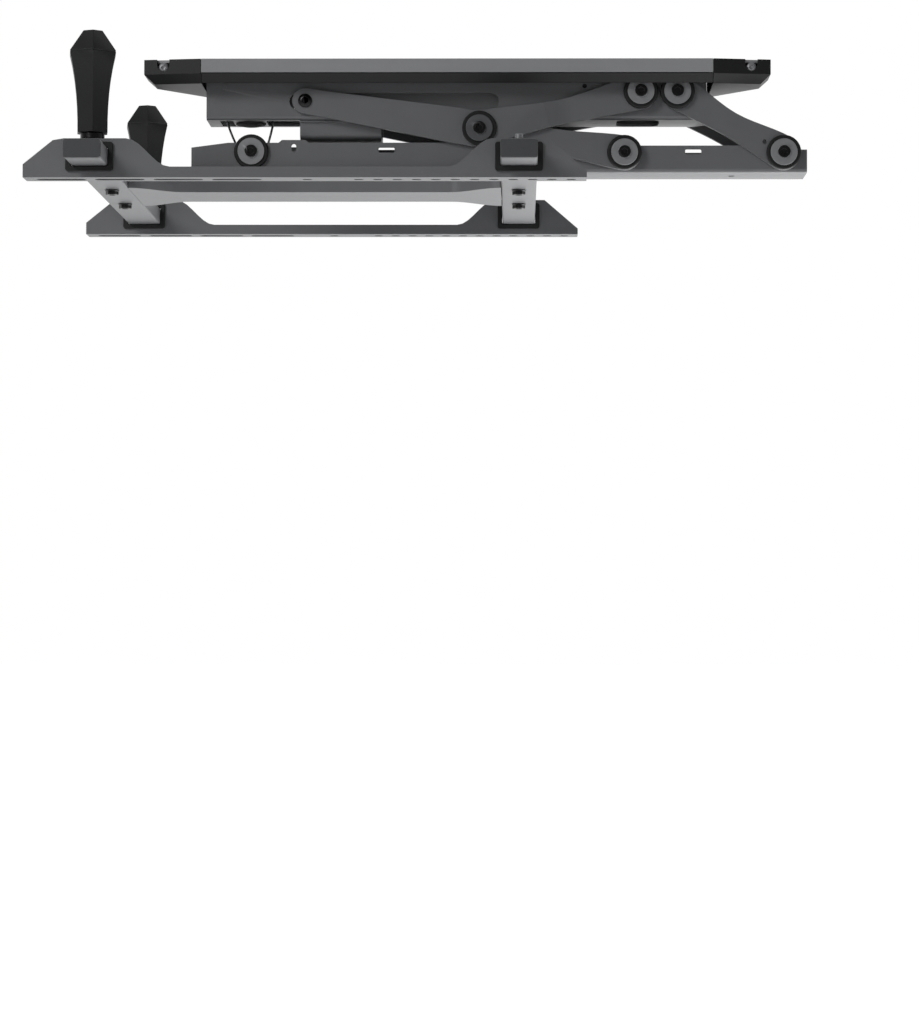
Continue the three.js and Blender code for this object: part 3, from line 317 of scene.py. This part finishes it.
def dress(node, material, edge_mm, second=None, is_second=None, cutter=None, reshape=None):
    """Rounds the edges of one CAD solid and gives it its finish. A cutter is taken away first,
    and reshape moves each point. Where a second finish is given, is_second picks the points
    whose faces have it."""
    source = frame["nodes"][node]
    mesh = source.data.copy()
    if cutter:
        mesh = cut_away(mesh, cutter)
    mesh.materials.clear()
    mesh.materials.append(material)
    work = bmesh.new()
    work.from_mesh(mesh)
    bmesh.ops.remove_doubles(work, verts=work.verts, dist=0.002 * MM)
    if reshape:
        for corner in work.verts:
            corner.co = reshape(corner.co)
    if second:
        mesh.materials.append(second)
        for face in work.faces:
            face.material_index = int(all(is_second(corner.co) for corner in face.verts))
    bmesh.ops.dissolve_limit(work, angle_limit=math.radians(1), verts=work.verts, edges=work.edges,
                             delimit={"MATERIAL"})
    work.to_mesh(mesh)
    work.free()
    mesh.polygons.foreach_set("use_smooth", [True] * len(mesh.polygons))
    mesh.set_sharp_from_angle(angle=SMOOTH_ANGLE)
    piece = bpy.data.objects.new(node + "_finished", mesh)
    bpy.context.scene.collection.objects.link(piece)
    rounding = piece.modifiers.new("edge_radius", "BEVEL")
    rounding.width = edge_mm * MM
    rounding.segments = 2
    rounding.limit_method = "ANGLE"
    rounding.angle_limit = SMOOTH_ANGLE
    rounding.harden_normals = True
    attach(piece, BODY_OF[node])
    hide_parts(node)


def both_sides(stem):
    return [stem + "_near", stem + "_far"]


def dress_sheet_metal():
    dress("ceiling_plate", STEEL_COVER, 0.8)
    dress("base_channel", STEEL_SHEET, 0.35, cutter=base_window())
    for node in ["motor_cover", "lower_channel", "spine", "crossbar_left", "crossbar_right"]:
        dress(node, STEEL_SHEET, 0.35)
    for stem in ["long_link", "steep_link", "tail_link", "rail"]:
        for node in both_sides(stem):
            dress(node, STEEL_SHEET, 0.45)


def deeper_below(node):
    """Draws the lower part of a cover moulding down, so that it hides the pivots' tops."""
    low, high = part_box(node)
    extra, from_share = 1.6 * MM, 0.4

    def reshape(point):
        share = (high.z - point.z) / (high.z - low.z)
        return Vector((point.x, point.y, point.z - extra * max(0, share - from_share) / (1 - from_share)))
    return reshape


def fuller_grip(node):
    """Widens a grip about its axis. Each stop is a share of its height and a factor."""
    low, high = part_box(node)
    middle = (low + high) / 2
    stops = [(0, 1.12), (0.4, 1.09), (0.79, 1.055), (1, 1.1)]

    def reshape(point):
        rise = (point.z - low.z) / (high.z - low.z)
        at = next((i for i, stop in enumerate(stops[1:-1]) if rise <= stop[0]), len(stops) - 2)
        (from_rise, from_width), (to_rise, to_width) = stops[at], stops[at + 1]
        width = from_width + (to_width - from_width) * (rise - from_rise) / (to_rise - from_rise)
        return Vector((middle.x + (point.x - middle.x) * width,
                       middle.y + (point.y - middle.y) * width, point.z))
    return reshape


def dress_mouldings():
    for node in both_sides("cover_skirt") + ["cover_end_cap_left", "cover_end_cap_right"]:
        dress(node, ABS_BLACK, 0.6, reshape=deeper_below(node))
    for end in ["left", "right"]:
        for node in both_sides("crossbar_cap_" + end):
            dress(node, ABS_SLATE, 0.7)
        for node in both_sides("rail_liner_" + end):
            dress(node, ABS_BLACK, 0.7)
    for node in both_sides("clamp_handle"):
        dress(node, ABS_BLACK, 1.2, reshape=fuller_grip(node))
    for ring in ["ring_steep_link", "ring_tail_link_top", "ring_tail_link_end", "ring_middle", "ring_frame",
                 "ring_pulley"]:
        for node in both_sides(ring):
            dress(node, ABS_BLACK, 0.4)
    dress("rubber_bumper", RUBBER, 0.3)
    dress("cable_pulley", NYLON, 0.3)
    for node in both_sides("slide_block"):
        dress(node, NYLON, 0.4)


def dress_turned_parts():
    """The shafts and their washers are grey, the middle pair darker, and their screw heads black."""
    head_height = 2.5 * MM
    head_radius = 5.6 * MM
    slack = 0.1 * MM
    for node in ["shaft_steep_link", "shaft_tail_link", "shaft_middle", "shaft_frame", "pulley_axle"] \
            + both_sides("stub_tail_link"):
        low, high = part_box(node)
        head_from = max(abs(low.y), abs(high.y)) - head_height
        centre = (low + high) / 2

        def on_head(point):
            reach = math.hypot(point.x - centre.x, point.z - centre.z)
            return reach < head_radius and abs(point.y) > head_from - slack

        dress(node, WASHER_DARK if node == "shaft_middle" else WASHER_GREY, 0.45, OXIDE, on_head)
    for node in both_sides("slide_pin"):
        dress(node, OXIDE, 0.5)
    for node in both_sides("clamp_stud"):
        dress(node, OXIDE, 0.4)
    dress("winch_gearmotor", ZINC, 0.5)
    dress("winch_drum", ZINC, 0.2)
    dress("control_board", BOARD_GREEN, 0.15)


# Pieces that only the scene has

def turned_head(name, body, foot, direction, rings, material, sides=36):
    """A screw head turned about its axis. Each ring is a radius and a height in millimetres,
    and True where the ring is the hexagon of the key's socket."""
    aim = Vector(direction).normalized()
    turn = aim.to_track_quat("Z", "Y").to_matrix().to_4x4()
    work = bmesh.new()
    loops = []
    for radius, height, is_hexagon in rings:
        loop = []
        for i in range(sides):
            angle = 2 * math.pi * i / sides
            reach = radius
            if is_hexagon:
                reach = radius / math.cos(angle % (math.pi / 3) - math.pi / 6)
            loop.append(work.verts.new((reach * math.cos(angle) * MM, reach * math.sin(angle) * MM,
                                        height * MM)))
        loops.append(loop)
    for lower, upper in zip(loops, loops[1:]):
        for i in range(sides):
            following = (i + 1) % sides
            work.faces.new((lower[i], lower[following], upper[following], upper[i]))
    work.faces.new(list(reversed(loops[0])))
    work.faces.new(loops[-1])
    bmesh.ops.recalc_face_normals(work, faces=work.faces)
    mesh = bpy.data.meshes.new(name)
    work.to_mesh(mesh)
    work.free()
    mesh.transform(Matrix.Translation(Vector(foot)) @ turn)
    mesh.materials.append(material)
    mesh.polygons.foreach_set("use_smooth", [True] * len(mesh.polygons))
    mesh.set_sharp_from_angle(angle=SMOOTH_ANGLE)
    piece = bpy.data.objects.new(name, mesh)
    bpy.context.scene.collection.objects.link(piece)
    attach(piece, body)


FLANGED_HEX = [(5.9, 0, False), (6.2, 0.4, False), (6.1, 0.9, False), (4.9, 1.5, True), (4.9, 4.0, True),
               (4.4, 4.4, True), (3.2, 4.4, False), (2.9, 3.7, False), (0.4, 3.7, False)]
SLIM_HEAD = [(3.2, 0, False), (3.4, 0.2, False), (3.4, 4.6, False), (3.0, 5.0, False), (1.8, 5.0, True),
             (1.7, 3.2, True), (0.3, 2.9, False)]
FLUSH_HEAD = [(1.7, 0, False), (1.85, 0.85, False), (1.0, 0.85, True), (0.9, 0.3, True), (0.2, 0.2, False)]
NOTCH_HEAD = [(4.1, 0, False), (4.4, 0.3, False), (4.0, 1.6, False), (2.8, 2.4, False), (2.1, 2.5, False),
              (1.8, 2.5, True), (1.7, 1.2, True), (0.3, 1.0, False)]
BROAD_PAN_HEAD = [(6.0, 0, False), (6.2, 0.6, False), (5.6, 2.6, False), (4.2, 3.8, False), (2.8, 4.0, False),
                  (2.4, 4.0, True), (2.2, 2.2, True), (0.4, 2.0, False)]


def crossbar_bolts():
    """Two flanged bolts under each crossbar hold it to the spine."""
    spread = 48 * MM
    for end in ["left", "right"]:
        low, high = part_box("crossbar_" + end)
        middle = (low.x + high.x) / 2
        for side, place in [(-1, "near"), (1, "far")]:
            turned_head(f"crossbar_bolt_{end}_{place}", "lower_frame",
                        (middle, side * spread, low.z), (0, 0, -1), FLANGED_HEX, OXIDE)


def safety_screws():
    """A slim screw stands in each rail's tab, over the right crossbar."""
    low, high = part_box("crossbar_right")
    middle = (low.x + high.x) / 2
    from_rail_edge = 12 * MM
    for place in ["near", "far"]:
        rail_low, rail_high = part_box("rail_" + place)
        turned_head("safety_screw_" + place, f"rail_{place}_body",
                    (middle, rail_low.y + from_rail_edge, rail_high.z), (0, 0, 1), SLIM_HEAD, WASHER_GREY)


def flush_earth_screw():
    """A countersunk screw lies flush in the small hole of each base wall."""
    hole_x, hole_z = 110.4 * MM, -19.3 * MM
    wall_y = 22.6 * MM
    sides = 24
    for side, place in [(-1, "near"), (1, "far")]:
        turned_head("earth_screw_" + place, "ceiling_base",
                    (hole_x, side * wall_y, hole_z), (0, side, 0), FLUSH_HEAD, OXIDE, sides)


def cap_screws():
    """A pan head in the notch of each end cap, on a lug under the ceiling plate."""
    notch_x = 253.3
    screw_y, screw_z = -43.4, -6.6
    lug_half_width = 4
    lug_near, lug_far = -43.2, -41.4
    lug_bottom, lug_top = -11, -2.6
    for end, x in [("left", -notch_x), ("right", notch_x)]:
        turned_head(f"cap_screw_{end}", "ceiling_base",
                    (x * MM, screw_y * MM, screw_z * MM), (0, -1, 0), NOTCH_HEAD, WASHER_GREY)
        left, right = x - lug_half_width, x + lug_half_width
        outline = [(left, lug_near), (right, lug_near), (right, lug_far), (left, lug_far)]
        lug = slab(outline, lug_bottom, lug_top)
        lug.materials.append(ABS_BLACK)
        piece = bpy.data.objects.new(f"cap_lug_{end}", lug)
        bpy.context.scene.collection.objects.link(piece)
        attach(piece, "ceiling_base")


def mounting_screws():
    """Pan heads under the ceiling plate, which the closed end caps hide."""
    hole_x, near_y = 236 * MM, -22 * MM
    plate_under = -2.5 * MM
    for end, x in [("left", -hole_x), ("right", hole_x)]:
        for place, y in [("near", near_y), ("middle", 0)]:
            turned_head(f"mounting_screw_{end}_{place}", "ceiling_base",
                        (x, y, plate_under), (0, 0, -1), BROAD_PAN_HEAD, ZINC)


def cable_on_the_pulley():
    """The wire rope at its folded length only; the real rope draws out as the frame comes down."""
    source = frame["nodes"]["hoist_cable"]
    mesh = source.data.copy()
    mesh.materials.clear()
    mesh.materials.append(WIRE)
    work = bmesh.new()
    work.from_mesh(mesh)
    bmesh.ops.remove_doubles(work, verts=work.verts, dist=0.002 * MM)
    work.to_mesh(mesh)
    work.free()
    mesh.polygons.foreach_set("use_smooth", [True] * len(mesh.polygons))
    cable = bpy.data.objects.new("hoist_cable_drawn", mesh)
    bpy.context.scene.collection.objects.link(cable)
    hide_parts("hoist_cable")
    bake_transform(cable)


# Floor, light and camera

def seen_directly(tree):
    """1 where a ray from the camera or a reflection looks straight at the surface, else 0."""
    rays = add(tree, "ShaderNodeLightPath")
    return add(tree, "ShaderNodeMath", {0: rays.outputs["Is Camera Ray"], 1: rays.outputs["Is Glossy Ray"]},
               operation="MAXIMUM").outputs[0]


def plain_floor():
    """A pale floor, clear when seen from underneath, since the mount is looked up at."""
    mesh = bpy.data.meshes.new("floor")
    reach = 30
    mesh.from_pydata([(-reach, -reach, -FLOOR_DROP), (reach, -reach, -FLOOR_DROP),
                      (reach, reach, -FLOOR_DROP), (-reach, reach, -FLOOR_DROP)], [], [(0, 1, 2, 3)])
    floor = bpy.data.objects.new("floor", mesh)
    bpy.context.scene.collection.objects.link(floor)
    material, tree = new_material("pale_floor_paint")
    paint = add(tree, "ShaderNodeBsdfDiffuse", {"Color": from_hex("#f2f2f2")})
    glow = add(tree, "ShaderNodeEmission", {"Color": from_hex("#c3c3c3"), "Strength": seen_directly(tree)})
    both = add(tree, "ShaderNodeAddShader", {0: paint.outputs[0], 1: glow.outputs[0]})
    from_below = add(tree, "ShaderNodeNewGeometry").outputs["Backfacing"]
    clear = add(tree, "ShaderNodeBsdfTransparent")
    sided = add(tree, "ShaderNodeMixShader", {0: from_below, 1: both.outputs[0], 2: clear.outputs[0]})
    add(tree, "ShaderNodeOutputMaterial", {"Surface": sided.outputs[0]})
    mesh.materials.append(material)


def soft_light(name, place, aim, size, power):
    data = bpy.data.lights.new(name, "AREA")
    data.shape = "DISK"
    data.size = size
    data.energy = power
    lamp = bpy.data.objects.new(name, data)
    lamp.location = place
    lamp.rotation_euler = (Vector(aim) - Vector(place)).to_track_quat("-Z", "Y").to_euler()
    bpy.context.scene.collection.objects.link(lamp)


def white_surroundings():
    """A room that is white behind the object and dim on the camera's side, as a studio is."""
    world = bpy.data.worlds.new("white_room")
    bpy.context.scene.world = world
    world.use_nodes = True
    tree = world.node_tree
    tree.nodes.clear()
    place = add(tree, "ShaderNodeTexCoord").outputs["Generated"]
    towards_back = add(tree, "ShaderNodeSeparateXYZ", {"Vector": place}).outputs["Y"]
    level = add(tree, "ShaderNodeMapRange", {"Value": towards_back, "From Min": -0.5, "From Max": 0.5,
                                             "To Min": 0.13, "To Max": 1.0}).outputs["Result"]
    room = add(tree, "ShaderNodeBackground", {"Color": from_hex("#ffffff"), "Strength": level})
    backdrop = add(tree, "ShaderNodeBackground", {"Color": from_hex("#ffffff"), "Strength": 1.0})
    straight = add(tree, "ShaderNodeLightPath").outputs["Is Camera Ray"]
    mixed = add(tree, "ShaderNodeMixShader", {0: straight, 1: room.outputs[0], 2: backdrop.outputs[0]})
    add(tree, "ShaderNodeOutputWorld", {"Surface": mixed.outputs[0]})


def place_camera():
    data = bpy.data.cameras.new("camera")
    data.lens = LENS_MM
    data.sensor_width = SENSOR_MM
    camera = bpy.data.objects.new("camera", data)
    camera.location = CAMERA_PLACE
    camera.rotation_euler = (CAMERA_PITCH, CAMERA_ROLL, CAMERA_YAW)
    bpy.context.scene.collection.objects.link(camera)
    bpy.context.scene.camera = camera


bpy.context.scene.view_settings.view_transform = "Standard"
place_camera()
plain_floor()
white_surroundings()
soft_light("key_from_front_left", (-1.6, -2.4, 1.2), (0, 0, -0.1), 1.2, 34)
soft_light("fill_from_below", (0.4, 0.3, -0.93), (0, 0, -0.1), 1.3, 17.5)

dress_sheet_metal()
dress_mouldings()
dress_turned_parts()
crossbar_bolts()
safety_screws()
flush_earth_screw()
mounting_screws()
cap_screws()
cable_on_the_pulley()
